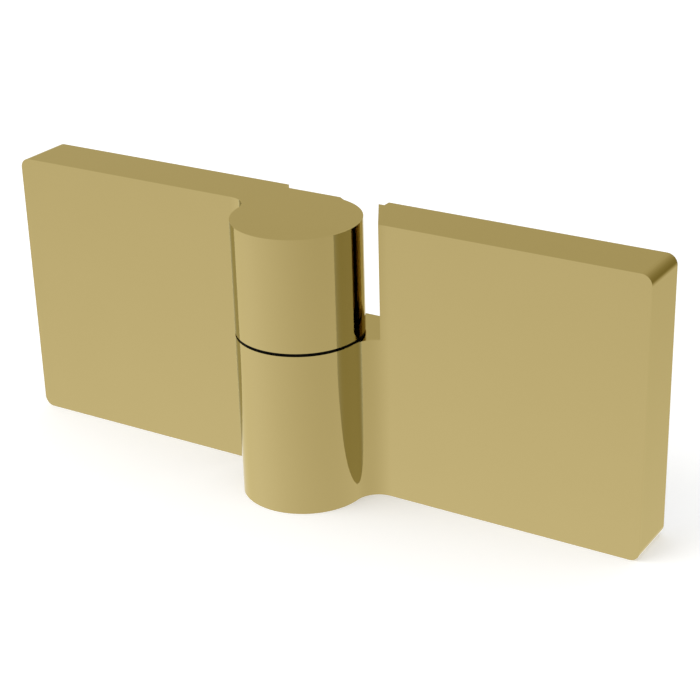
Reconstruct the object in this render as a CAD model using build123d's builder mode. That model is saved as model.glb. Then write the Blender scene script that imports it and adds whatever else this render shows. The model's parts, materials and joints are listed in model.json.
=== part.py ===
from build123d import *
from math import cos, radians, sin, tan
import os

# Shower door hinge that joins two glass panes in line and lifts the door as it opens.
# X runs along the leaves, with the door on the left and the fixed pane on the right.
# Y points from the room into the shower, and Z points up.
# The origin is midway between the two panes, on their room side, at the leaves' mid-height.

# Leaves: the reach is from the barrel's axis to a leaf's outer end
leaf_height = 60.0
leaf_reach = 74.45
leaf_thickness = 12.15
leaf_corner = 2.2
pad_step = 1.8
pad_setback = 1.35
inner_end_gap = 2.95
inner_end_angle = 30.0

# Barrel, and the necks that join it to the leaves
barrel_diameter = 26.7
barrel_inset = 0.68
split_height = 5.4
split_gap = 0.66
blend_radius = 5.1
neck_overrun = 1.6
neck_cut_angle = 34.0

# Glass and gaskets
glass_thickness = 8.0
gasket_thickness = 1.0
gasket_inset = 1.0
gasket_corner = 1.5

# Glass fixings, two on each leaf, one above the other
fixing_reach = 45.0
fixing_spacing = 28.0
disc_diameter = 20.0
disc_thickness = 4.5
disc_land = 0.5
bush_wall = 0.8
fixing_screw_diameter = 6.0
fixing_screw_length = 16.0
fixing_head_diameter = 12.0
fixing_head_land = 0.3
fixing_hex = 4.0
fixing_hex_depth = 2.4
tap_spare = 1.0

# Lift cams: the door rises by the lift while it turns through the opening angle
lift = 5.0
opening_angle = 100.0
cam_diameter = 20.0
cam_seat_depth = 18.0
crown_wall = 4.1
ramp_angle = 152.0
stop_angle = 2.0
crown_root = 0.4
crest_radius = 0.5
cam_edge = 0.4
barrel_roof = 4.0
shoulder = 1.0

# Spindle, and what holds it in the door's knuckle
spindle_diameter = 9.0
spindle_flats = 7.4
spindle_point = 1.2
spindle_chamfer = 0.5
spindle_headroom = 1.0
thrust_diameter = 15.0
thrust_thickness = 0.8
circlip_thickness = 1.0
circlip_width = 1.7
circlip_opening = 60.0
circlip_lug_diameter = 2.8
circlip_eye_diameter = 1.2
groove_depth = 0.25
washer_edge = 0.2

# Stop against lifting off, at the spindle's foot
stop_spare = 0.4
stop_washer_diameter = 16.0
stop_washer_thickness = 1.6
stop_screw_diameter = 5.0
stop_screw_length = 10.0
stop_head_diameter = 9.2
stop_head_height = 2.7
stop_head_round = 1.9
stop_hex = 3.0
stop_hex_depth = 1.9

# Bottom plug and split ring
plug_thickness = 4.0
plug_recess = 0.3
plug_hex = 8.0
plug_hex_depth = 2.4
plug_edge = 0.3
ring_setback = 0.27
ring_bore_gap = 0.4

# Lock screws, which lean from the barrel's axis towards their leaf
lock_screw_diameter = 4.0
lock_lean = 14.0
lock_bite = 0.8
lock_recess = 0.3
lock_hex = 2.0
lock_hex_depth = 1.6
lock_cup_diameter = 2.2
lock_cup_depth = 0.8
lock_cup_slope = 45.0

# Clearances: seated pieces, turning and sliding pieces, cam faces, and flat faces that turn
seat_gap = 0.02
running_gap = 0.05
cam_gap = 0.3
face_gap = 0.1

# Planes across the glass, from the panes towards the room
pad_y = -gasket_thickness
neck_y = pad_y - pad_step
front_y = pad_y - leaf_thickness
knuckle_radius = barrel_diameter / 2
axis_y = neck_y - barrel_inset - knuckle_radius

# Heights of the leaves and their knuckles
top_z = leaf_height / 2
bottom_z = -leaf_height / 2
knuckle_top_z = split_height
knuckle_base_z = split_height + split_gap

# Cams: the crown is the ring of ramps, and the lead is the rise in a full turn
cam_radius = cam_diameter / 2
bore_radius = cam_radius - shoulder
crown_radius = cam_radius - cam_gap
crown_bore = crown_radius - crown_wall
lead = lift * 360 / opening_angle
crown_height = lead * ramp_angle / 360
cam_foot_z = knuckle_top_z - cam_seat_depth
cam_dwell_z = knuckle_top_z + crown_height + cam_gap
ramp_starts = (0, 180)

# Door's knuckle, from its roof down: the spindle's head, the circlip, the washer and the upper cam
roof_z = top_z - barrel_roof
spindle_top_z = roof_z - spindle_headroom
circlip_z = spindle_top_z - spindle_point - circlip_thickness
cam_head_z = circlip_z - face_gap - thrust_thickness
upper_cam_body = cam_head_z - cam_dwell_z

# Spindle: its flats end just above the lower cam
spindle_radius = spindle_diameter / 2
groove_radius = spindle_radius - groove_depth
spindle_foot_z = cam_foot_z - lift - stop_spare
flats_top_z = knuckle_top_z + cam_gap
stop_head_z = spindle_foot_z - stop_washer_thickness

# Lock screws sit at the middle of the cam bodies that they lock
lock_radius = lock_screw_diameter / 2
lock_tip = cam_radius - lock_bite
lock_mouth = (neck_y - axis_y) / cos(radians(lock_lean))
lock_end = lock_mouth - lock_radius * tan(radians(lock_lean)) - lock_recess
upper_lock_z = cam_dwell_z + upper_cam_body / 2
lower_lock_z = cam_foot_z + cam_seat_depth / 2

# Fixings: the disc and its bush are cones of 45 degrees, flush with the far side of the glass
disc_radius = disc_diameter / 2
disc_seat_y = glass_thickness - disc_thickness
disc_land_y = glass_thickness - disc_land
disc_small_radius = disc_radius - (disc_thickness - disc_land)
bush_radius = disc_small_radius + bush_wall
fixing_radius = fixing_screw_diameter / 2
fixing_head_radius = fixing_head_diameter / 2
fixing_land_y = glass_thickness - fixing_head_land
fixing_neck_y = fixing_land_y - (fixing_head_radius - fixing_radius)
fixing_tip_y = glass_thickness - fixing_screw_length

DOOR, FIXED = -1, 1
leaf_names = {DOOR: "door", FIXED: "fixed"}
rows = {"upper": fixing_spacing / 2, "lower": -fixing_spacing / 2}


def inner_end_x(y):
    """Distance along X from the axis to the slanted end that clears the other leaf's knuckle."""
    slope = radians(inner_end_angle)
    clear = knuckle_radius + inner_end_gap
    return (clear - (y - axis_y) * sin(slope)) / cos(slope)


pad_x = inner_end_x(neck_y) + pad_setback
gasket_length = leaf_reach - pad_x - 2 * gasket_inset
gasket_x = (leaf_reach + pad_x) / 2


def axis_plane(height):
    """Level plane whose origin is on the barrel's axis."""
    return Plane(origin=(0, axis_y, height))


def lock_plane(side, height):
    """Plane through the barrel's axis whose normal runs out along a lock screw."""
    lean = radians(lock_lean)
    return Plane(origin=(0, axis_y, height), z_dir=(side * sin(lean), cos(lean), 0))


def glass_plane(y):
    """Upright plane along the leaves, facing into the shower."""
    return Plane(origin=(0, y, 0), x_dir=(1, 0, 0), z_dir=(0, 1, 0))


def neck_plan(side):
    """Plan of a leaf beside its own knuckle, with the neck that carries it."""
    cut_run = knuckle_radius / 2
    cut_y = neck_y - cut_run * tan(radians(neck_cut_angle))
    with BuildSketch() as plan:
        with BuildLine():
            Polyline(
                (0, front_y),
                (-side * (neck_overrun + cut_run), cut_y),
                (-side * neck_overrun, neck_y),
                (side * pad_x, neck_y),
                (side * pad_x, pad_y),
                (side * leaf_reach, pad_y),
                (side * leaf_reach, front_y),
                close=True,
            )
        make_face()
        with Locations((0, axis_y)):
            Circle(knuckle_radius)
        on_front = [v for v in plan.vertices() if abs(v.Y - front_y) < seat_gap]
        fillet(min(on_front, key=lambda v: abs(v.X)), blend_radius)
    return plan.sketch


def end_plan(side):
    """Plan of a leaf beside the other leaf's knuckle, where a slanted face cuts off neck and barrel."""
    ahead_y = front_y - blend_radius
    with BuildSketch() as plan:
        add(neck_plan(side))
        with BuildLine():
            Polyline(
                (side * inner_end_x(ahead_y), ahead_y),
                (side * inner_end_x(neck_y), neck_y),
                (side * inner_end_x(neck_y), pad_y),
                (side * leaf_reach, pad_y),
                (side * leaf_reach, ahead_y),
                close=True,
            )
        make_face(mode=Mode.INTERSECT)
    return plan.sketch


def tapped_holes(side):
    """Outlines of the two holes in a leaf's pad that take the fixing screws."""
    with BuildSketch(glass_plane(pad_y)) as holes:
        with Locations(*[(side * fixing_reach, height) for height in rows.values()]):
            Circle(fixing_radius)
    return holes.sketch


def ramp(start, skipped, foot_z):
    """Helical face of one cam ramp, which starts at an angle and leaves out its first degrees."""
    first = start + skipped
    base = (0, axis_y, foot_z + lead * skipped / 360)
    rise = lead * (ramp_angle - skipped) / 360
    inner, outer = (
        Helix(lead, rise, radius).rotate(Axis.Z, first).translate(base)
        for radius in (crown_bore, crown_radius)
    )
    return Face.make_surface_from_curves(inner.edge(), outer.edge())


def dwell(start):
    """Outline of the level stretch that follows one ramp of the lower cam."""
    with BuildSketch(axis_plane(knuckle_top_z)) as level:
        with BuildLine():
            inner = CenterArc((0, 0), crown_bore, start + ramp_angle, 180 - ramp_angle)
            outer = CenterArc((0, 0), crown_radius, start + ramp_angle, 180 - ramp_angle)
            Line(inner @ 0, outer @ 0)
            Line(inner @ 1, outer @ 1)
        make_face()
    return level.sketch


def keyed(radius, flats):
    """Round section with two flats."""
    with BuildSketch() as section:
        Circle(radius)
        Rectangle(2 * radius, flats, mode=Mode.INTERSECT)
    return section.sketch


def finish(piece, name):
    """Labels a finished piece and writes it to its own file."""
    piece.part.label = name
    export_step(piece.part, f"parts/{name}.step")


os.makedirs("parts", exist_ok=True)

# Door leaf, in one casting with the upper knuckle and its blind bore
with BuildPart() as door_leaf:
    extrude(Plane.XY.offset(knuckle_base_z) * neck_plan(DOOR), amount=top_z - knuckle_base_z)
    extrude(Plane.XY.offset(bottom_z) * end_plan(DOOR), amount=knuckle_base_z - bottom_z)
    fillet(door_leaf.edges().filter_by(Axis.Y).group_by(Axis.X)[0], leaf_corner)
    with BuildSketch(axis_plane(knuckle_base_z)):
        Circle(cam_radius)
    extrude(amount=cam_head_z - knuckle_base_z, mode=Mode.SUBTRACT)
    with BuildSketch(axis_plane(cam_head_z)):
        Circle(bore_radius)
    extrude(amount=roof_z - cam_head_z, mode=Mode.SUBTRACT)
    with BuildSketch(lock_plane(DOOR, upper_lock_z)):
        Circle(lock_radius)
    extrude(amount=lock_mouth + shoulder, mode=Mode.SUBTRACT)
    extrude(tapped_holes(DOOR), amount=fixing_tip_y - tap_spare - pad_y, mode=Mode.SUBTRACT)
finish(door_leaf, "door_leaf")

# Fixed leaf, in one casting with the lower knuckle, which is bored right through
with BuildPart() as fixed_leaf:
    extrude(Plane.XY.offset(bottom_z) * neck_plan(FIXED), amount=knuckle_top_z - bottom_z)
    extrude(Plane.XY.offset(knuckle_top_z) * end_plan(FIXED), amount=top_z - knuckle_top_z)
    fillet(fixed_leaf.edges().filter_by(Axis.Y).group_by(Axis.X)[-1], leaf_corner)
    with BuildSketch(axis_plane(bottom_z)):
        Circle(bore_radius)
    extrude(amount=knuckle_top_z - bottom_z, mode=Mode.SUBTRACT)
    with BuildSketch(axis_plane(cam_foot_z)):
        Circle(cam_radius)
    extrude(amount=cam_seat_depth, mode=Mode.SUBTRACT)
    with BuildSketch(axis_plane(bottom_z)):
        Circle(cam_radius)
    extrude(amount=plug_recess + plug_thickness, mode=Mode.SUBTRACT)
    with BuildSketch(lock_plane(FIXED, lower_lock_z)):
        Circle(lock_radius)
    extrude(amount=lock_mouth + shoulder, mode=Mode.SUBTRACT)
    extrude(tapped_holes(FIXED), amount=fixing_tip_y - tap_spare - pad_y, mode=Mode.SUBTRACT)
finish(fixed_leaf, "fixed_leaf")

# Lower cam: its foot stands on the shoulder in the bore, and its crown reaches up into the door's
# knuckle, where each ramp climbs to a level stretch and drops back at a wall
with BuildPart() as lower_cam:
    with BuildSketch(axis_plane(cam_foot_z)):
        Circle(cam_radius - seat_gap)
        add(keyed(spindle_radius + running_gap, spindle_flats + 2 * running_gap), mode=Mode.SUBTRACT)
    extrude(amount=cam_seat_depth)
    for start in ramp_starts:
        extrude(ramp(start, 0, knuckle_top_z), amount=crown_height + crown_root, dir=(0, 0, -1))
        extrude(dwell(start), amount=crown_height)
    fillet(lower_cam.edges().filter_by(GeomType.LINE).group_by(Axis.Z)[-1], crest_radius)
    chamfer(lower_cam.faces().sort_by(Axis.Z)[0].outer_wire().edges(), cam_edge)
    with BuildSketch(lock_plane(FIXED, lower_lock_z).offset(lock_tip - face_gap)):
        Circle(lock_radius + face_gap)
    extrude(amount=cam_radius, mode=Mode.SUBTRACT)
finish(lower_cam, "lower_cam")

# Upper cam: its ramps hang over those of the lower cam, a small gap above them
with BuildPart() as upper_cam:
    with BuildSketch(axis_plane(cam_dwell_z)):
        Circle(cam_radius - seat_gap)
        Circle(spindle_radius + running_gap, mode=Mode.SUBTRACT)
    extrude(amount=upper_cam_body)
    for start in ramp_starts:
        extrude(
            ramp(start, stop_angle, knuckle_top_z + cam_gap),
            amount=crown_height + crown_root,
            dir=(0, 0, 1),
        )
    split(bisect_by=axis_plane(cam_head_z), keep=Keep.BOTTOM)
    fillet(upper_cam.edges().filter_by(GeomType.LINE).group_by(Axis.Z)[0], crest_radius)
    chamfer(upper_cam.faces().sort_by(Axis.Z)[-1].outer_wire().edges(), cam_edge)
    with BuildSketch(lock_plane(DOOR, upper_lock_z).offset(lock_tip - face_gap)):
        Circle(lock_radius + face_gap)
    extrude(amount=cam_radius, mode=Mode.SUBTRACT)
finish(upper_cam, "upper_cam")

# Lock screws, one in each neck, which bite into a spot drilled in the cam
locks = {"upper_cam_screw": (DOOR, upper_lock_z), "lower_cam_screw": (FIXED, lower_lock_z)}
for name, (side, height) in locks.items():
    with BuildPart() as lock_screw:
        with BuildSketch(lock_plane(side, height).offset(lock_tip)):
            Circle(lock_radius - seat_gap)
        extrude(amount=lock_end - lock_tip)
        chamfer(lock_screw.edges().filter_by(GeomType.CIRCLE), lock_recess)
        with BuildSketch(lock_plane(side, height).offset(lock_end)):
            RegularPolygon(lock_hex / 2, 6, major_radius=False)
        extrude(amount=-lock_hex_depth, mode=Mode.SUBTRACT)
        with BuildSketch(lock_plane(side, height).offset(lock_tip)):
            Circle(lock_cup_diameter / 2)
        extrude(amount=lock_cup_depth, taper=lock_cup_slope, mode=Mode.SUBTRACT)
    finish(lock_screw, name)

# Spindle: it turns in the upper cam, and its flats keep it from turning in the lower cam
with BuildPart() as spindle:
    with BuildSketch(axis_plane(spindle_foot_z)):
        add(keyed(spindle_radius, spindle_flats))
    extrude(amount=flats_top_z - spindle_foot_z)
    with BuildSketch(axis_plane(flats_top_z)):
        Circle(spindle_radius)
    extrude(amount=spindle_top_z - flats_top_z)
    ends = spindle.faces().filter_by(Axis.Z).group_by(Axis.Z)
    chamfer(ends[0].edges() + ends[-1].edges(), spindle_chamfer)
    with BuildSketch(axis_plane(circlip_z)):
        Circle(spindle_radius)
        Circle(groove_radius, mode=Mode.SUBTRACT)
    extrude(amount=circlip_thickness, mode=Mode.SUBTRACT)
    with BuildSketch(axis_plane(spindle_foot_z)):
        Circle(stop_screw_diameter / 2)
    extrude(amount=stop_screw_length - stop_washer_thickness + tap_spare, mode=Mode.SUBTRACT)
finish(spindle, "spindle")

# Thrust washer on the upper cam
with BuildPart() as thrust_washer:
    with BuildSketch(axis_plane(cam_head_z)):
        Circle(thrust_diameter / 2)
        Circle(spindle_radius + running_gap, mode=Mode.SUBTRACT)
    extrude(amount=thrust_thickness)
    chamfer(thrust_washer.edges().group_by(SortBy.LENGTH)[-1], washer_edge)
finish(thrust_washer, "thrust_washer")

# Circlip in the spindle's groove, with an eye at each end for the pliers
with BuildPart() as circlip:
    with BuildSketch(axis_plane(circlip_z)):
        with BuildLine():
            turn = 360 - circlip_opening
            first = circlip_opening / 2
            inner = CenterArc((0, 0), groove_radius, first, turn)
            outer = CenterArc((0, 0), groove_radius + circlip_width, first, turn)
            Line(inner @ 0, outer @ 0)
            Line(inner @ 1, outer @ 1)
        make_face()
        eye_reach = spindle_radius + running_gap + circlip_lug_diameter / 2
        with PolarLocations(eye_reach, 2, first, turn, endpoint=True):
            Circle(circlip_lug_diameter / 2)
            Circle(circlip_eye_diameter / 2, mode=Mode.SUBTRACT)
    extrude(amount=circlip_thickness)
finish(circlip, "circlip")

# Stop washer, which meets the lower cam's foot if the door is lifted past its travel
with BuildPart() as stop_washer:
    with BuildSketch(axis_plane(stop_head_z)):
        Circle(stop_washer_diameter / 2)
        Circle(stop_screw_diameter / 2 + face_gap, mode=Mode.SUBTRACT)
    extrude(amount=stop_washer_thickness)
    chamfer(stop_washer.edges().group_by(SortBy.LENGTH)[-1], washer_edge)
finish(stop_washer, "stop_washer")

# Stop screw, with a domed head and a hexagon socket
with BuildPart() as stop_screw:
    with BuildSketch(axis_plane(stop_head_z - stop_head_height)):
        Circle(stop_head_diameter / 2)
    extrude(amount=stop_head_height)
    fillet(stop_screw.faces().sort_by(Axis.Z)[0].edges(), stop_head_round)
    with BuildSketch(axis_plane(stop_head_z)):
        Circle(stop_screw_diameter / 2 - seat_gap)
    extrude(amount=stop_screw_length)
    with BuildSketch(axis_plane(stop_head_z - stop_head_height)):
        RegularPolygon(stop_hex / 2, 6, major_radius=False)
    extrude(amount=stop_hex_depth, mode=Mode.SUBTRACT)
finish(stop_screw, "stop_screw")

# Bottom plug, screwed in with a hexagon key
with BuildPart() as bottom_plug:
    with BuildSketch(axis_plane(bottom_z + plug_recess)):
        Circle(cam_radius - seat_gap)
        RegularPolygon(plug_hex / 2, 6, major_radius=False, mode=Mode.SUBTRACT)
    extrude(amount=plug_hex_depth)
    with BuildSketch(axis_plane(bottom_z + plug_recess + plug_hex_depth)):
        Circle(cam_radius - seat_gap)
    extrude(amount=plug_thickness - plug_hex_depth)
    chamfer(bottom_plug.faces().sort_by(Axis.Z)[0].edges(), plug_edge)
finish(bottom_plug, "bottom_plug")

# Split ring on the fixed knuckle, under the door's knuckle
with BuildPart() as split_ring:
    with BuildSketch(axis_plane(knuckle_top_z)):
        Circle(knuckle_radius - ring_setback)
        Circle(cam_radius + ring_bore_gap, mode=Mode.SUBTRACT)
    extrude(amount=split_gap - face_gap)
finish(split_ring, "split_ring")

# Gasket on each pad, and the two fixings that clamp the glass against it
for side, leaf in leaf_names.items():
    with BuildPart() as gasket:
        with BuildSketch(glass_plane(pad_y)):
            with Locations((side * gasket_x, 0)):
                RectangleRounded(gasket_length, leaf_height - 2 * gasket_inset, gasket_corner)
            with Locations(*[(side * fixing_reach, height) for height in rows.values()]):
                Circle(bush_radius + face_gap, mode=Mode.SUBTRACT)
        extrude(amount=gasket_thickness)
    finish(gasket, f"{leaf}_gasket")

    for row, height in rows.items():
        middle = Plane(origin=(side * fixing_reach, 0, height))
        turning_axis = Axis(middle.origin, (0, 1, 0))

        with BuildPart() as bush:
            with BuildSketch(middle):
                with BuildLine():
                    Polyline(
                        (fixing_radius + bush_wall, pad_y),
                        (bush_radius, pad_y),
                        (bush_radius, disc_seat_y),
                        (disc_radius + bush_wall, disc_land_y),
                        (disc_radius + bush_wall, glass_thickness),
                        (disc_radius, glass_thickness),
                        (disc_radius, disc_land_y),
                        (disc_small_radius, disc_seat_y),
                        (fixing_radius + bush_wall, disc_seat_y),
                        close=True,
                    )
                make_face()
            revolve(axis=turning_axis)
        finish(bush, f"{leaf}_{row}_bush")

        with BuildPart() as disc:
            with BuildSketch(middle):
                with BuildLine():
                    Polyline(
                        (fixing_radius + face_gap, disc_seat_y),
                        (disc_small_radius, disc_seat_y),
                        (disc_radius, disc_land_y),
                        (disc_radius, glass_thickness),
                        (fixing_head_radius + face_gap, glass_thickness),
                        (fixing_head_radius + face_gap, fixing_land_y),
                        (fixing_radius + face_gap, fixing_neck_y),
                        close=True,
                    )
                make_face()
            revolve(axis=turning_axis)
        finish(disc, f"{leaf}_{row}_disc")

        with BuildPart() as screw:
            with BuildSketch(middle):
                with BuildLine():
                    Polyline(
                        (0, fixing_tip_y),
                        (fixing_radius - seat_gap, fixing_tip_y),
                        (fixing_radius - seat_gap, fixing_neck_y),
                        (fixing_head_radius, fixing_land_y),
                        (fixing_head_radius, glass_thickness),
                        (0, glass_thickness),
                        close=True,
                    )
                make_face()
            revolve(axis=turning_axis)
            with BuildSketch(glass_plane(glass_thickness)):
                with Locations((side * fixing_reach, -height)):
                    RegularPolygon(fixing_hex / 2, 6, major_radius=False)
            extrude(amount=-fixing_hex_depth, mode=Mode.SUBTRACT)
        finish(screw, f"{leaf}_{row}_screw")
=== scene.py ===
import json
from math import cos, pi, radians, sin

import bpy
from mathutils import Matrix, Vector

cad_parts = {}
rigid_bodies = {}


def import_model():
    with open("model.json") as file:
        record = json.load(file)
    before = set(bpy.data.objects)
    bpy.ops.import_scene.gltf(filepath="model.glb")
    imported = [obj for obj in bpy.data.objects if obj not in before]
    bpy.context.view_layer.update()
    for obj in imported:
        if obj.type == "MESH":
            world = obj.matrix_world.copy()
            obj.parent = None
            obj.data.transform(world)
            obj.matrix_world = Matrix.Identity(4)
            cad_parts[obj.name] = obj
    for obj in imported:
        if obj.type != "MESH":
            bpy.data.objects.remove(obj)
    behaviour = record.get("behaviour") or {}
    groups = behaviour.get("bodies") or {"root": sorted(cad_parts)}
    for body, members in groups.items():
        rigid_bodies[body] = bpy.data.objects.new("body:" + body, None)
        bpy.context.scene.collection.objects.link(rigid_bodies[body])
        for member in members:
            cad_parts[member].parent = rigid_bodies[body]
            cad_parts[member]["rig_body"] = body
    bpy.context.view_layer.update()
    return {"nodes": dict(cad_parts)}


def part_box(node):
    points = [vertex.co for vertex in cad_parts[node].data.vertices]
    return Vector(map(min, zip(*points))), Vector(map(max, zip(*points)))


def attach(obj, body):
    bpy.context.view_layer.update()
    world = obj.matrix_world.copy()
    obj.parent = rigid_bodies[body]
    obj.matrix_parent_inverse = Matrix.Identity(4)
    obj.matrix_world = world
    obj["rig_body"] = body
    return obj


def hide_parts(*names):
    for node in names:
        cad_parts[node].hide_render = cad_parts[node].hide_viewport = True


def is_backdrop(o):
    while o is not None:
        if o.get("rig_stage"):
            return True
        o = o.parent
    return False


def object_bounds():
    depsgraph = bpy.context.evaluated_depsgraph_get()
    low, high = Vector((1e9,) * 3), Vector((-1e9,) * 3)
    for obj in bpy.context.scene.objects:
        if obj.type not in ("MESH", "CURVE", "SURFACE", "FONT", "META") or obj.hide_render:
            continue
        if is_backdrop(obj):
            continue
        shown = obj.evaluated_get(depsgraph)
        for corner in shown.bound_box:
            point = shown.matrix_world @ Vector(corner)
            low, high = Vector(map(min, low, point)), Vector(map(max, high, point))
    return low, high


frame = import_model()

# Finishes, lights and camera for a polished brass shower door hinge that stands on a pale floor.
# Lengths are in millimetres until they reach the scene, which is in metres.

MM = 0.001

# Camera: where it stands, how it is turned, and its lens
camera_place = (187.18, -296.43, 151.21)
camera_yaw = 30.889
camera_pitch = 24.445
camera_roll = -1.094
camera_lens = 92.26
sensor_width = 36.0
camera_shift = (-0.05, 0.0137)

# Light: level of the room for plain and for mirroring surfaces, and the share that the softbox adds
room_level = 0.78
mirrored_level = 1.4
softbox_share = 0.32
softbox_size = 700.0
softbox_place = (-420.0, -520.0, 760.0)
floor_size = 4000.0
floor_glow = 0.3

# Tones of the room as brass mirrors it, in steps: how they slope and bow, and which steps are drawn
tone_slope = (-13.8, 3.1, -35.2)
tone_bow = 27.4
darkest_step = -58.3
brightest_step = 41.7
# Dark card behind the hinge on the right: its way, its reach in radians, its steps, and its lower edge
card_way = (0.5, 0.866, -0.02)
card_reach = 0.82
card_steps = 48.0
card_edge = (-0.34, -0.14)
# Bright patch low behind the hinge on the left: the same, but its edge is the upper one
patch_way = (-0.468, 0.781, -0.414)
patch_reach = 0.95
patch_steps = 20.0
patch_edge = (-0.35, -0.47)
# Gain of what brass shows by way of a second mirrored face, and where the back of the room ends
second_face_gain = 1.74
back_edge = (0.7, 0.35)

# Threads: radius over the crests, pitch, and where they end above the screw's point
fixing_thread = {"Radius": 2.98, "Pitch": 1.0, "End": 12.2}
stop_thread = {"Radius": 2.48, "Pitch": 0.8, "End": 10.0}
lock_thread = {"Radius": 1.98, "Pitch": 0.7, "End": 4.4}
plug_thread = {"Radius": 9.98, "Pitch": 1.5, "End": 3.6}
# Depth of a thread and the flats of its crests and roots, as shares of the pitch
thread_depth = 0.61
thread_flat = 0.06
# Share of the radius beyond which a point lies on the shank's skin
skin_share = 0.98
rings_per_pitch = 10
sides = 48

# Screws: lengths, radii of their heads, the lean of the lock screws, and what angle stays a sharp edge
fixing_length = 16.0
fixing_head = 6.0
stop_shank = 10.0
stop_head = 4.6
stop_height = 2.7
lock_length = 4.46
lock_lean = 14.0
plug_length = 4.0
plug_key = 8.0
sharp_edge = 32.0
# Chamfer, drilled hole and drill's point of a hexagon socket, as shares of half its width
mouth_chamfer = 0.08
drill_width = 0.8
drill_point = 0.25


def linear(code):
    """Linear colour, with alpha, of a six-figure sRGB code."""
    parts = [int(code[i:i + 2], 16) / 255 for i in (1, 3, 5)]
    return (*[c / 12.92 if c <= 0.04045 else ((c + 0.055) / 1.055) ** 2.4 for c in parts], 1.0)


def add_node(tree, kind, inputs=None, **settings):
    """Adds a node with its settings, and gives each named input a value or a link."""
    made = tree.nodes.new(kind)
    for name, value in settings.items():
        setattr(made, name, value)
    for name, value in (inputs or {}).items():
        if isinstance(value, bpy.types.NodeSocket):
            tree.links.new(value, made.inputs[name])
        else:
            made.inputs[name].default_value = value
    return made


def blank_material(name):
    """New material with an empty node tree and its output."""
    material = bpy.data.materials.new(name)
    material.use_nodes = True
    material.node_tree.nodes.clear()
    output = add_node(material.node_tree, "ShaderNodeOutputMaterial")
    return material, material.node_tree, output


def per_metre(size):
    """Scale of a pattern on object coordinates whose grain is this many millimetres."""
    return 1 / (size * MM)


def polished_brass():
    """Brass, machined and buffed: a clear mirror, a little softer in patches that the mop left."""
    material, tree, output = blank_material("Brass, buffed to a mirror")
    place = add_node(tree, "ShaderNodeTexCoord").outputs["Object"]
    haze = add_node(tree, "ShaderNodeTexNoise", {"Vector": place, "Scale": per_metre(14), "Detail": 3.0})
    softness = add_node(tree, "ShaderNodeMapRange", {
        "Value": haze.outputs["Fac"], "From Min": 0.3, "From Max": 0.7, "To Min": 0.045, "To Max": 0.075,
    })
    tone = add_node(tree, "ShaderNodeMix", {
        0: haze.outputs["Fac"], 6: linear("#BBA971"), 7: linear("#BDAB73"),
    }, data_type="RGBA")
    # Buffing lines, finer than a hair and drawn five times too wide, run along the leaves
    stretched = add_node(tree, "ShaderNodeMapping", {
        "Vector": place, "Scale": (per_metre(12), per_metre(0.25), per_metre(0.25)),
    })
    lines = add_node(tree, "ShaderNodeTexNoise", {
        "Vector": stretched.outputs[0], "Scale": 1.0, "Detail": 2.0,
    })
    relief = add_node(tree, "ShaderNodeBump", {
        "Height": lines.outputs["Fac"], "Strength": 0.05, "Distance": 0.002 * MM,
    })
    surface = add_node(tree, "ShaderNodeBsdfPrincipled", {
        "Base Color": tone.outputs[2], "Metallic": 1.0, "Roughness": softness.outputs["Result"],
        "Specular Tint": linear("#E9E3CD"), "Normal": relief.outputs["Normal"],
    })
    tree.links.new(surface.outputs["BSDF"], output.inputs["Surface"])
    return material


def ground_stainless():
    """Stainless bar, centreless ground: bright, with fine rings round the spindle."""
    material, tree, output = blank_material("Stainless steel, centreless ground")
    place = add_node(tree, "ShaderNodeTexCoord").outputs["Object"]
    along = add_node(tree, "ShaderNodeMapping", {
        "Vector": place, "Scale": (per_metre(9), per_metre(9), per_metre(0.12)),
    })
    rings = add_node(tree, "ShaderNodeTexNoise", {"Vector": along.outputs[0], "Scale": 1.0, "Detail": 3.0})
    softness = add_node(tree, "ShaderNodeMapRange", {
        "Value": rings.outputs["Fac"], "From Min": 0.3, "From Max": 0.7, "To Min": 0.2, "To Max": 0.32,
    })
    tone = add_node(tree, "ShaderNodeMix", {
        0: rings.outputs["Fac"], 6: linear("#B7B5B0"), 7: linear("#C9C7C3"),
    }, data_type="RGBA")
    relief = add_node(tree, "ShaderNodeBump", {
        "Height": rings.outputs["Fac"], "Strength": 0.25, "Distance": 0.01 * MM,
    })
    surface = add_node(tree, "ShaderNodeBsdfPrincipled", {
        "Base Color": tone.outputs[2], "Metallic": 1.0, "Roughness": softness.outputs["Result"],
        "Normal": relief.outputs["Normal"],
    })
    tree.links.new(surface.outputs["BSDF"], output.inputs["Surface"])
    return material


def headed_stainless():
    """Stainless wire, cold headed and tumbled: satin, with a faint dimpled skin."""
    material, tree, output = blank_material("Stainless steel, cold headed")
    place = add_node(tree, "ShaderNodeTexCoord").outputs["Object"]
    dimples = add_node(tree, "ShaderNodeTexVoronoi", {"Vector": place, "Scale": per_metre(0.3)})
    cloud = add_node(tree, "ShaderNodeTexNoise", {"Vector": place, "Scale": per_metre(1.2), "Detail": 2.0})
    softness = add_node(tree, "ShaderNodeMapRange", {
        "Value": cloud.outputs["Fac"], "From Min": 0.3, "From Max": 0.7, "To Min": 0.3, "To Max": 0.36,
    })
    tone = add_node(tree, "ShaderNodeMix", {
        0: cloud.outputs["Fac"], 6: linear("#C2C1BE"), 7: linear("#CBCAC8"),
    }, data_type="RGBA")
    relief = add_node(tree, "ShaderNodeBump", {
        "Height": dimples.outputs["Distance"], "Strength": 0.1, "Distance": 0.02 * MM,
    })
    surface = add_node(tree, "ShaderNodeBsdfPrincipled", {
        "Base Color": tone.outputs[2], "Metallic": 1.0, "Roughness": softness.outputs["Result"],
        "Normal": relief.outputs["Normal"],
    })
    tree.links.new(surface.outputs["BSDF"], output.inputs["Surface"])
    return material


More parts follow.
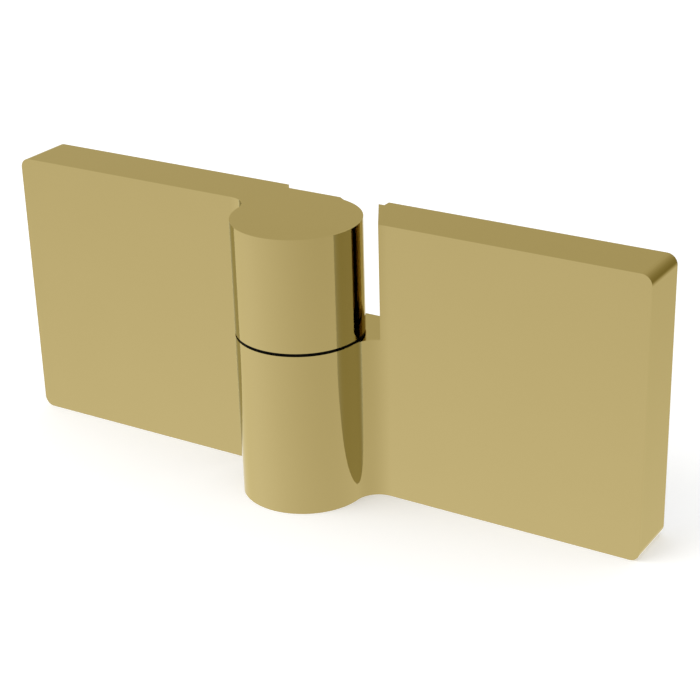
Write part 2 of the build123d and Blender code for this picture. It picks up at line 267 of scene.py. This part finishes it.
def rolled_stainless():
    """Stainless strip, cold rolled and stamped: satin, with straight rolling lines."""
    material, tree, output = blank_material("Stainless steel, cold rolled strip")
    place = add_node(tree, "ShaderNodeTexCoord").outputs["Object"]
    along = add_node(tree, "ShaderNodeMapping", {
        "Vector": place, "Scale": (per_metre(8), per_metre(0.1), per_metre(0.6)),
    })
    lines = add_node(tree, "ShaderNodeTexNoise", {"Vector": along.outputs[0], "Scale": 1.0, "Detail": 3.0})
    softness = add_node(tree, "ShaderNodeMapRange", {
        "Value": lines.outputs["Fac"], "From Min": 0.3, "From Max": 0.7, "To Min": 0.28, "To Max": 0.42,
    })
    tone = add_node(tree, "ShaderNodeMix", {
        0: lines.outputs["Fac"], 6: linear("#A8A6A1"), 7: linear("#BDBBB6"),
    }, data_type="RGBA")
    surface = add_node(tree, "ShaderNodeBsdfPrincipled", {
        "Base Color": tone.outputs[2], "Metallic": 1.0, "Roughness": softness.outputs["Result"],
    })
    tree.links.new(surface.outputs["BSDF"], output.inputs["Surface"])
    return material


def moulded_acetal():
    """Black acetal, injection moulded: dark and waxy, a soft sheen over the grain of its mould."""
    material, tree, output = blank_material("Black acetal, moulded")
    place = add_node(tree, "ShaderNodeTexCoord").outputs["Object"]
    grain = add_node(tree, "ShaderNodeTexNoise", {"Vector": place, "Scale": per_metre(0.3), "Detail": 3.0})
    flow = add_node(tree, "ShaderNodeTexNoise", {"Vector": place, "Scale": per_metre(6), "Detail": 2.0})
    softness = add_node(tree, "ShaderNodeMapRange", {
        "Value": flow.outputs["Fac"], "From Min": 0.3, "From Max": 0.7, "To Min": 0.28, "To Max": 0.38,
    })
    tone = add_node(tree, "ShaderNodeMix", {
        0: flow.outputs["Fac"], 6: linear("#121213"), 7: linear("#1A1A1B"),
    }, data_type="RGBA")
    relief = add_node(tree, "ShaderNodeBump", {
        "Height": grain.outputs["Fac"], "Strength": 0.2, "Distance": 0.02 * MM,
    })
    surface = add_node(tree, "ShaderNodeBsdfPrincipled", {
        "Base Color": tone.outputs[2], "Roughness": softness.outputs["Result"], "IOR": 1.48,
        "Specular IOR Level": 0.4, "Normal": relief.outputs["Normal"],
    })
    tree.links.new(surface.outputs["BSDF"], output.inputs["Surface"])
    return material


def turned_acetal():
    """Black acetal, turned from rod: dead matt, with the fine rings that the tool leaves on it."""
    material, tree, output = blank_material("Black acetal, turned")
    low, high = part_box("split_ring")
    place = add_node(tree, "ShaderNodeTexCoord").outputs["Object"]
    centred = add_node(tree, "ShaderNodeMapping", {
        "Vector": place, "Location": -(low + high) / 2, "Scale": (1.0, 1.0, 0.0),
    })
    reach = add_node(tree, "ShaderNodeVectorMath", {0: centred.outputs[0]}, operation="LENGTH")
    # The tool's feed is 0.08 mm a turn, drawn at 0.2 mm so that it shows
    rings = add_node(tree, "ShaderNodeTexNoise", {
        "W": reach.outputs["Value"], "Scale": per_metre(0.2), "Detail": 2.0,
    }, noise_dimensions="1D")
    softness = add_node(tree, "ShaderNodeMapRange", {
        "Value": rings.outputs["Fac"], "From Min": 0.3, "From Max": 0.7, "To Min": 0.42, "To Max": 0.58,
    })
    tone = add_node(tree, "ShaderNodeMix", {
        0: rings.outputs["Fac"], 6: linear("#040302"), 7: linear("#0D0B08"),
    }, data_type="RGBA")
    relief = add_node(tree, "ShaderNodeBump", {
        "Height": rings.outputs["Fac"], "Strength": 0.3, "Distance": 0.02 * MM,
    })
    surface = add_node(tree, "ShaderNodeBsdfPrincipled", {
        "Base Color": tone.outputs[2], "Roughness": softness.outputs["Result"], "IOR": 1.48,
        "Specular IOR Level": 0.04, "Normal": relief.outputs["Normal"],
    })
    tree.links.new(surface.outputs["BSDF"], output.inputs["Surface"])
    return material


def moulded_nylon():
    """Natural nylon, injection moulded: milky white that light sinks into, with a soft shine."""
    material, tree, output = blank_material("Natural nylon, moulded")
    place = add_node(tree, "ShaderNodeTexCoord").outputs["Object"]
    flow = add_node(tree, "ShaderNodeTexNoise", {"Vector": place, "Scale": per_metre(5), "Detail": 3.0})
    grain = add_node(tree, "ShaderNodeTexNoise", {"Vector": place, "Scale": per_metre(0.4), "Detail": 2.0})
    softness = add_node(tree, "ShaderNodeMapRange", {
        "Value": flow.outputs["Fac"], "From Min": 0.3, "From Max": 0.7, "To Min": 0.32, "To Max": 0.44,
    })
    tone = add_node(tree, "ShaderNodeMix", {
        0: flow.outputs["Fac"], 6: linear("#E2DFD5"), 7: linear("#EAE7DE"),
    }, data_type="RGBA")
    relief = add_node(tree, "ShaderNodeBump", {
        "Height": grain.outputs["Fac"], "Strength": 0.2, "Distance": 0.02 * MM,
    })
    surface = add_node(tree, "ShaderNodeBsdfPrincipled", {
        "Base Color": tone.outputs[2], "Roughness": softness.outputs["Result"], "IOR": 1.53,
        "Subsurface Weight": 0.3, "Subsurface Radius": (1.0, 0.9, 0.75), "Subsurface Scale": 0.8 * MM,
        "Normal": relief.outputs["Normal"],
    })
    tree.links.new(surface.outputs["BSDF"], output.inputs["Surface"])
    return material


def soft_vinyl():
    """Soft vinyl sheet, calendered: cloudy grey that lets some light through, with a leathery skin."""
    material, tree, output = blank_material("Soft vinyl, calendered sheet")
    place = add_node(tree, "ShaderNodeTexCoord").outputs["Object"]
    # The calender's pebbles, drawn a little wider than the real 0.5 mm so that they show
    skin = add_node(tree, "ShaderNodeTexVoronoi", {"Vector": place, "Scale": per_metre(0.7)})
    cloud = add_node(tree, "ShaderNodeTexNoise", {"Vector": place, "Scale": per_metre(7), "Detail": 4.0})
    softness = add_node(tree, "ShaderNodeMapRange", {
        "Value": cloud.outputs["Fac"], "From Min": 0.3, "From Max": 0.7, "To Min": 0.36, "To Max": 0.5,
    })
    clouded = add_node(tree, "ShaderNodeMix", {
        0: cloud.outputs["Fac"], 6: linear("#D4D7D5"), 7: linear("#E0E2E0"),
    }, data_type="RGBA")
    # Painted shade: the valleys between the pebbles are painted a darker grey, standing in for the shade
    # that falls in them
    painted_valley_shade = add_node(tree, "ShaderNodeMapRange", {
        "Value": skin.outputs["Distance"], "From Min": 0.45, "From Max": 0.85,
    })
    tone = add_node(tree, "ShaderNodeMix", {
        0: painted_valley_shade.outputs["Result"], 6: clouded.outputs[2], 7: linear("#CFD2D0"),
    }, data_type="RGBA")
    relief = add_node(tree, "ShaderNodeBump", {
        "Height": skin.outputs["Distance"], "Strength": 0.3, "Distance": 0.05 * MM,
    }, invert=True)
    surface = add_node(tree, "ShaderNodeBsdfPrincipled", {
        "Base Color": tone.outputs[2], "Roughness": softness.outputs["Result"], "IOR": 1.53,
        "Transmission Weight": 0.2, "Normal": relief.outputs["Normal"],
    })
    tree.links.new(surface.outputs["BSDF"], output.inputs["Surface"])
    return material


def pale_floor():
    """Floor of the studio: white to the eye with the hinge's shadow on it, open to the mirrored rays."""
    material, tree, output = blank_material("Studio floor, white card")
    ray = add_node(tree, "ShaderNodeLightPath")
    under = add_node(tree, "ShaderNodeNewGeometry").outputs["Backfacing"]
    card = add_node(tree, "ShaderNodeBsdfDiffuse", {"Color": linear("#F4F4F3")})
    lift = add_node(tree, "ShaderNodeEmission", {"Color": linear("#FFFFFF")})
    glow = add_node(tree, "ShaderNodeMath", {
        0: ray.outputs["Is Camera Ray"], 1: floor_glow,
    }, operation="MULTIPLY")
    tree.links.new(glow.outputs[0], lift.inputs["Strength"])
    seen = add_node(tree, "ShaderNodeAddShader", {0: card.outputs[0], 1: lift.outputs[0]})
    open_way = add_node(tree, "ShaderNodeMath", {
        0: ray.outputs["Is Glossy Ray"], 1: under,
    }, operation="MAXIMUM")
    clear = add_node(tree, "ShaderNodeBsdfTransparent")
    surface = add_node(tree, "ShaderNodeMixShader", {
        0: open_way.outputs[0], 1: seen.outputs[0], 2: clear.outputs[0],
    })
    tree.links.new(surface.outputs[0], output.inputs["Surface"])
    return material


def studio_room():
    """Room round the hinge: plain white to the eye and to plain surfaces. Mirrored rays find it brighter
    below and to the left, warmer and dimmer above, and darkest at a card behind the hinge on the right."""
    world = bpy.data.worlds.new("Studio room")
    bpy.context.scene.world = world
    world.use_nodes = True
    tree = world.node_tree
    tree.nodes.clear()
    way = add_node(tree, "ShaderNodeTexCoord").outputs["Generated"]
    parts = add_node(tree, "ShaderNodeSeparateXYZ", {0: way}).outputs
    height = parts["Z"]
    # Steps of tone by which a mirrored surface differs from its own colour, for each way it looks
    slope = add_node(tree, "ShaderNodeVectorMath", {0: way, 1: tone_slope}, operation="DOT_PRODUCT")
    square = add_node(tree, "ShaderNodeMath", {0: height, 1: height}, operation="MULTIPLY")
    steps = add_node(tree, "ShaderNodeMath", {
        0: square.outputs[0], 1: tone_bow, 2: slope.outputs["Value"],
    }, operation="MULTIPLY_ADD")
    # Dark card, which fades out sideways and upwards and ends sharply above the floor
    facing = add_node(tree, "ShaderNodeVectorMath", {0: way, 1: card_way}, operation="DOT_PRODUCT")
    off_card = add_node(tree, "ShaderNodeMath", {0: facing.outputs["Value"]}, operation="ARCCOSINE")
    fading = add_node(tree, "ShaderNodeMapRange", {
        "Value": off_card.outputs[0], "From Min": 0.0, "From Max": card_reach,
        "To Min": card_steps, "To Max": 0.0,
    })
    above = add_node(tree, "ShaderNodeMapRange", {
        "Value": height, "From Min": card_edge[0], "From Max": card_edge[1],
    })
    card = add_node(tree, "ShaderNodeMath", {
        0: fading.outputs[0], 1: above.outputs[0],
    }, operation="MULTIPLY")
    darkened = add_node(tree, "ShaderNodeMath", {
        0: steps.outputs[0], 1: card.outputs[0],
    }, operation="SUBTRACT")
    # Bright patch, where the far edge of the barrel looks, so it shows as a light line down that edge
    grazing = add_node(tree, "ShaderNodeVectorMath", {0: way, 1: patch_way}, operation="DOT_PRODUCT")
    off_patch = add_node(tree, "ShaderNodeMath", {0: grazing.outputs["Value"]}, operation="ARCCOSINE")
    patch = add_node(tree, "ShaderNodeMapRange", {
        "Value": off_patch.outputs[0], "From Min": 0.0, "From Max": patch_reach,
        "To Min": patch_steps, "To Max": 0.0,
    })
    below = add_node(tree, "ShaderNodeMapRange", {
        "Value": height, "From Min": patch_edge[0], "From Max": patch_edge[1],
    })
    toned = add_node(tree, "ShaderNodeMath", {
        0: patch.outputs[0], 1: below.outputs[0], 2: darkened.outputs[0],
    }, operation="MULTIPLY_ADD")
    light = add_node(tree, "ShaderNodeMapRange", {
        "Value": toned.outputs[0], "From Min": darkest_step, "From Max": brightest_step,
    })
    tones = add_node(tree, "ShaderNodeValToRGB", {0: light.outputs[0]})
    stops = tones.color_ramp.elements
    stops[0].color, stops[1].color = linear("#7F764A"), linear("#F3F5FF")
    for share, code in ((0.2, "#96906E"), (0.4, "#AEA993"), (0.55, "#BFBCAE"), (0.8, "#DCDCDC")):
        stops.new(share).color = linear(code)
    # All but the back of the room is cooler by way of a second mirrored face, so brass in brass is olive
    ray = add_node(tree, "ShaderNodeLightPath")
    second = add_node(tree, "ShaderNodeMath", {
        0: ray.outputs["Glossy Depth"], 1: 1.5,
    }, operation="GREATER_THAN")
    front = add_node(tree, "ShaderNodeMapRange", {
        "Value": parts["Y"], "From Min": back_edge[0], "From Max": back_edge[1],
    })
    cool = add_node(tree, "ShaderNodeMath", {
        0: second.outputs[0], 1: front.outputs[0],
    }, operation="MULTIPLY")
    cooled = add_node(tree, "ShaderNodeMix", {
        0: cool.outputs[0], 6: tones.outputs["Color"], 7: linear("#CCDAFF"),
    }, data_type="RGBA", blend_type="MULTIPLY")
    power = add_node(tree, "ShaderNodeMapRange", {
        "Value": cool.outputs[0], "To Min": mirrored_level, "To Max": mirrored_level * second_face_gain,
    })
    mirrored = add_node(tree, "ShaderNodeBackground", {
        "Color": cooled.outputs[2], "Strength": power.outputs[0],
    })
    plain = add_node(tree, "ShaderNodeBackground", {"Color": linear("#FFFFFF"), "Strength": room_level})
    white = add_node(tree, "ShaderNodeBackground", {"Color": linear("#FFFFFF"), "Strength": 1.0})
    lit = add_node(tree, "ShaderNodeMixShader", {
        0: ray.outputs["Is Glossy Ray"], 1: plain.outputs[0], 2: mirrored.outputs[0],
    })
    clear_view = add_node(tree, "ShaderNodeMath", {
        0: ray.outputs["Is Camera Ray"], 1: ray.outputs["Is Transmission Ray"],
    }, operation="MAXIMUM")
    seen = add_node(tree, "ShaderNodeMixShader", {
        0: clear_view.outputs[0], 1: lit.outputs[0], 2: white.outputs[0],
    })
    add_node(tree, "ShaderNodeOutputWorld", {"Surface": seen.outputs[0]})


def stage():
    """Floor under the hinge, one softbox and the room's even light."""
    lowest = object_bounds()[0][2]
    half = floor_size * MM / 2
    mesh = bpy.data.meshes.new("studio_floor")
    corners = [(-half, -half, lowest), (half, -half, lowest), (half, half, lowest), (-half, half, lowest)]
    mesh.from_pydata(corners, [], [(0, 1, 2, 3)])
    mesh.materials.append(pale_floor())
    floor = bpy.data.objects.new("studio_floor", mesh)
    bpy.context.collection.objects.link(floor)
    floor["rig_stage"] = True

    lamp = bpy.data.lights.new("softbox", "AREA")
    lamp.size = softbox_size * MM
    place = Vector(softbox_place) * MM
    # Power at which white card at the hinge, turned to the softbox, gets that share of full white
    lamp.energy = softbox_share * pi * pi * place.length_squared
    softbox = bpy.data.objects.new("softbox", lamp)
    softbox.location = place
    softbox.rotation_euler = (-place).to_track_quat("-Z", "Y").to_euler()
    softbox.visible_glossy = False
    bpy.context.collection.objects.link(softbox)
    studio_room()


def camera():
    """Camera in front of the hinge, to the right of it and above."""
    made = bpy.data.cameras.new("camera")
    made.lens = camera_lens
    made.sensor_width = sensor_width
    made.shift_x, made.shift_y = camera_shift
    made.clip_start, made.clip_end = 0.01, 10.0
    holder = bpy.data.objects.new("camera", made)
    holder.matrix_world = (
        Matrix.Translation(Vector(camera_place) * MM)
        @ Matrix.Rotation(radians(camera_yaw), 4, "Z")
        @ Matrix.Rotation(pi / 2 - radians(camera_pitch), 4, "X")
        @ Matrix.Rotation(radians(camera_roll), 4, "Z")
    )
    bpy.context.collection.objects.link(holder)
    bpy.context.scene.camera = holder


def turned(name, rings):
    """Closed body of rings round the Z axis. Each ring has a radius and a height. One that is marked as a
    hexagon has half its width across flats for a radius, and one with no radius is a point on the axis."""
    spots, faces, last = [], [], []
    for radius, height, *hexagon in rings:
        first = len(spots)
        count = sides if radius else 1
        for i in range(count):
            angle = 2 * pi * i / sides
            corner = (angle + pi / 6) % (pi / 3) - pi / 6
            reach = radius / cos(corner) if hexagon else radius
            spots.append((reach * cos(angle) * MM, reach * sin(angle) * MM, height * MM))
        ring = [first + i % count for i in range(sides)]
        for i in range(sides if last else 0):
            j = (i + 1) % sides
            quad = (last[i], last[j], ring[j], ring[i])
            faces.append(tuple(dict.fromkeys(quad)))
        last = ring
    mesh = bpy.data.meshes.new(name)
    mesh.from_pydata(spots, [], faces)
    return mesh


def shank(thread, start, end):
    """Rings of a round shank, close enough together to cut a thread into it."""
    count = round((end - start) / thread["Pitch"] * rings_per_pitch)
    return [(thread["Radius"], start + (end - start) * i / count) for i in range(count + 1)]


def socket(across, top, depth):
    """Rings of a hexagon socket, from its chamfered mouth to the drill's point at its bottom."""
    half = across / 2
    chamfer = half * mouth_chamfer
    return [
        (half + chamfer, top, "hexagon"),
        (half, top - chamfer, "hexagon"),
        (half, top - depth, "hexagon"),
        (half * drill_width, top - depth),
        (0, top - depth - half * drill_point),
    ]


def countersunk_screw():
    """Rings of a countersunk screw, whose head is flush with its disc."""
    return [
        (0, 0),
        (fixing_thread["Radius"] - 0.7, 0),
        *shank(fixing_thread, start=0.6, end=12.7),
        # Cone of the head, its narrow rim, and the broken edge above that
        (fixing_head - 0.02, fixing_length - 0.3),
        (fixing_head, fixing_length - 0.25),
        (fixing_head, fixing_length - 0.08),
        (fixing_head - 0.08, fixing_length),
        *socket(across=4, top=fixing_length, depth=2.4),
    ]


def domed_screw():
    """Rings of the stop screw, with a domed head."""
    crown = 1.9
    flat = stop_head - crown
    shoulder = stop_shank + stop_height - crown
    dome = [(flat + crown * cos(radians(a)), shoulder + crown * sin(radians(a))) for a in range(0, 91, 10)]
    return [
        (0, 0),
        (stop_thread["Radius"] - 0.6, 0),
        *shank(stop_thread, start=0.5, end=stop_shank),
        (stop_head - 0.1, stop_shank),
        (stop_head, stop_shank + 0.1),
        *dome,
        *socket(across=3, top=stop_shank + stop_height, depth=1.9),
    ]


def cup_point_screw():
    """Rings of a headless lock screw with a cup point, which bites into its cam."""
    return [
        # Hollow of the cup, 0.8 deep, and the ring that bites
        (0, 0.8),
        (0.3, 0.8),
        (1.1, 0),
        (1.6, 0),
        *shank(lock_thread, start=0.35, end=lock_length - 0.3),
        (lock_thread["Radius"] - 0.3, lock_length),
        *socket(across=2, top=lock_length, depth=1.6),
    ]


def plug_body():
    """Rings of the bottom plug, with a wide socket for its key, whose bottom is flat."""
    radius, half, bottom = plug_thread["Radius"], plug_key / 2, 1.6
    return [
        (0, 0),
        (radius - 0.9, 0),
        *shank(plug_thread, start=0.5, end=3.4),
        (radius, plug_length - 0.3),
        (radius - 0.3, plug_length),
        (half + 0.2, plug_length, "hexagon"),
        (half, plug_length - 0.2, "hexagon"),
        (half, bottom, "hexagon"),
        (0, bottom),
    ]


def thread_tree():
    """Cuts a helical thread into the shank of a blank that stands on the Z axis."""
    tree = bpy.data.node_groups.new("Cut thread", "GeometryNodeTree")
    tree.interface.new_socket("Blank", in_out="INPUT", socket_type="NodeSocketGeometry")
    for name in ("Radius", "Pitch", "End"):
        tree.interface.new_socket(name, in_out="INPUT", socket_type="NodeSocketFloat")
    tree.interface.new_socket("Finish", in_out="INPUT", socket_type="NodeSocketMaterial")
    tree.interface.new_socket("Screw", in_out="OUTPUT", socket_type="NodeSocketGeometry")
    given = add_node(tree, "NodeGroupInput").outputs
    place = add_node(tree, "GeometryNodeInputPosition").outputs[0]
    spot = add_node(tree, "ShaderNodeSeparateXYZ", {0: place}).outputs
    # A point's height in pitches, less its turn about the axis, tells how far it is from crest or root,
    # which lie half a pitch apart
    turn = add_node(tree, "ShaderNodeMath", {0: spot["Y"], 1: spot["X"]}, operation="ARCTAN2")
    turns = add_node(tree, "ShaderNodeMath", {0: turn.outputs[0], 1: 2 * pi}, operation="DIVIDE")
    climb = add_node(tree, "ShaderNodeMath", {0: spot["Z"], 1: given["Pitch"]}, operation="DIVIDE")
    phase = add_node(tree, "ShaderNodeMath", {
        0: climb.outputs[0], 1: turns.outputs[0],
    }, operation="SUBTRACT")
    wave = add_node(tree, "ShaderNodeMath", {0: phase.outputs[0], 1: 0.5}, operation="PINGPONG")
    groove = add_node(tree, "ShaderNodeMapRange", {
        "Value": wave.outputs[0], "From Min": thread_flat, "From Max": 0.5 - thread_flat,
    })
    # The thread runs in over its first pitch and out over its last
    full_to = add_node(tree, "ShaderNodeMath", {0: given["End"], 1: given["Pitch"]}, operation="SUBTRACT")
    run_in = add_node(tree, "ShaderNodeMapRange", {
        "Value": spot["Z"], "From Min": 0.0, "From Max": given["Pitch"],
    })
    run_out = add_node(tree, "ShaderNodeMapRange", {
        "Value": spot["Z"], "From Min": full_to.outputs[0], "From Max": given["End"],
        "To Min": 1.0, "To Max": 0.0,
    })
    ends = add_node(tree, "ShaderNodeMath", {
        0: run_in.outputs[0], 1: run_out.outputs[0],
    }, operation="MULTIPLY")
    cut = add_node(tree, "ShaderNodeMath", {0: groove.outputs[0], 1: ends.outputs[0]}, operation="MULTIPLY")
    deepest = add_node(tree, "ShaderNodeMath", {0: given["Pitch"], 1: -thread_depth}, operation="MULTIPLY")
    depth = add_node(tree, "ShaderNodeMath", {
        0: cut.outputs[0], 1: deepest.outputs[0],
    }, operation="MULTIPLY")
    level = add_node(tree, "ShaderNodeVectorMath", {0: place, 1: (1.0, 1.0, 0.0)}, operation="MULTIPLY")
    outward = add_node(tree, "ShaderNodeVectorMath", {0: level.outputs[0]}, operation="NORMALIZE")
    move = add_node(tree, "ShaderNodeVectorMath", {
        0: outward.outputs[0], "Scale": depth.outputs[0],
    }, operation="SCALE")
    reach = add_node(tree, "ShaderNodeVectorMath", {0: level.outputs[0]}, operation="LENGTH")
    # Only points on the shank's skin move, so the head, the point and the socket stay plain
    skin = add_node(tree, "ShaderNodeMath", {0: given["Radius"], 1: skin_share}, operation="MULTIPLY")
    on_skin = add_node(tree, "ShaderNodeMath", {
        0: reach.outputs["Value"], 1: skin.outputs[0],
    }, operation="GREATER_THAN")
    shaped = add_node(tree, "GeometryNodeSetPosition", {
        "Geometry": given["Blank"], "Selection": on_skin.outputs[0], "Offset": move.outputs[0],
    })
    whole = add_node(tree, "GeometryNodeRealizeInstances", {"Geometry": shaped.outputs[0]})
    finished = add_node(tree, "GeometryNodeSetMaterial", {
        "Geometry": whole.outputs[0], "Material": given["Finish"],
    })
    add_node(tree, "NodeGroupOutput", {"Screw": finished.outputs[0]})
    return tree


def threaded(node, rings, thread, way, cutting, finish):
    """Screw with a cut thread, in the place of a plain one, whose head points the given way."""
    name = node + "_threaded"
    blank = bpy.data.objects.new(name + "_blank", turned(name + "_blank", rings))
    bpy.context.collection.objects.link(blank)
    cutter = blank.modifiers.new("cut_thread", "NODES")
    cutter.node_group = cutting
    values = {size: length * MM for size, length in thread.items()} | {"Finish": finish}
    for item in cutting.interface.items_tree:
        if item.name in values:
            cutter[item.identifier] = values[item.name]
    bpy.context.view_layer.update()
    mesh = bpy.data.meshes.new_from_object(blank.evaluated_get(bpy.context.evaluated_depsgraph_get()))
    bpy.data.objects.remove(blank)
    mesh.name = name
    low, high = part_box(node)
    length = max(ring[1] for ring in rings) * MM
    turn = Vector(way).to_track_quat("Z", "Y").to_matrix().to_4x4()
    mesh.transform(Matrix.Translation((low + high) / 2) @ turn @ Matrix.Translation((0, 0, -length / 2)))
    mesh.shade_smooth()
    mesh.set_sharp_from_angle(angle=radians(sharp_edge))
    piece = bpy.data.objects.new(name, mesh)
    bpy.context.collection.objects.link(piece)
    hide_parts(node)
    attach(piece, frame["nodes"][node]["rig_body"])


def screws(steel, brass):
    """All the screws of the hinge, and its plug, with their threads."""
    cutting = thread_tree()
    for node in frame["nodes"]:
        if node.endswith(("_upper_screw", "_lower_screw")):
            threaded(node, countersunk_screw(), fixing_thread, (0, 1, 0), cutting, steel)
    lean = radians(lock_lean)
    for node, side in (("upper_cam_screw", -1), ("lower_cam_screw", 1)):
        way = (side * sin(lean), cos(lean), 0)
        threaded(node, cup_point_screw(), lock_thread, way, cutting, steel)
    threaded("stop_screw", domed_screw(), stop_thread, (0, 0, -1), cutting, steel)
    threaded("bottom_plug", plug_body(), plug_thread, (0, 0, -1), cutting, brass)


def finish_nodes():
    """Gives every CAD piece the finish of its own material and process, and adds the threaded screws."""
    brass, nylon, vinyl = polished_brass(), moulded_nylon(), soft_vinyl()
    moulded, lathed = moulded_acetal(), turned_acetal()
    ground, headed, rolled = ground_stainless(), headed_stainless(), rolled_stainless()
    finishes = {
        "leaf": brass, "disc": brass, "plug": brass, "bush": nylon, "gasket": vinyl,
        "cam": moulded, "thrust_washer": moulded, "ring": lathed,
        "spindle": ground, "screw": headed, "circlip": rolled, "stop_washer": rolled,
    }
    for name, piece in frame["nodes"].items():
        finish = next(made for ending, made in finishes.items() if name.endswith(ending))
        for slot in piece.material_slots:
            slot.material = finish
    screws(headed, brass)


finish_nodes()
stage()
camera()
bpy.context.scene.view_settings.view_transform = "Standard"
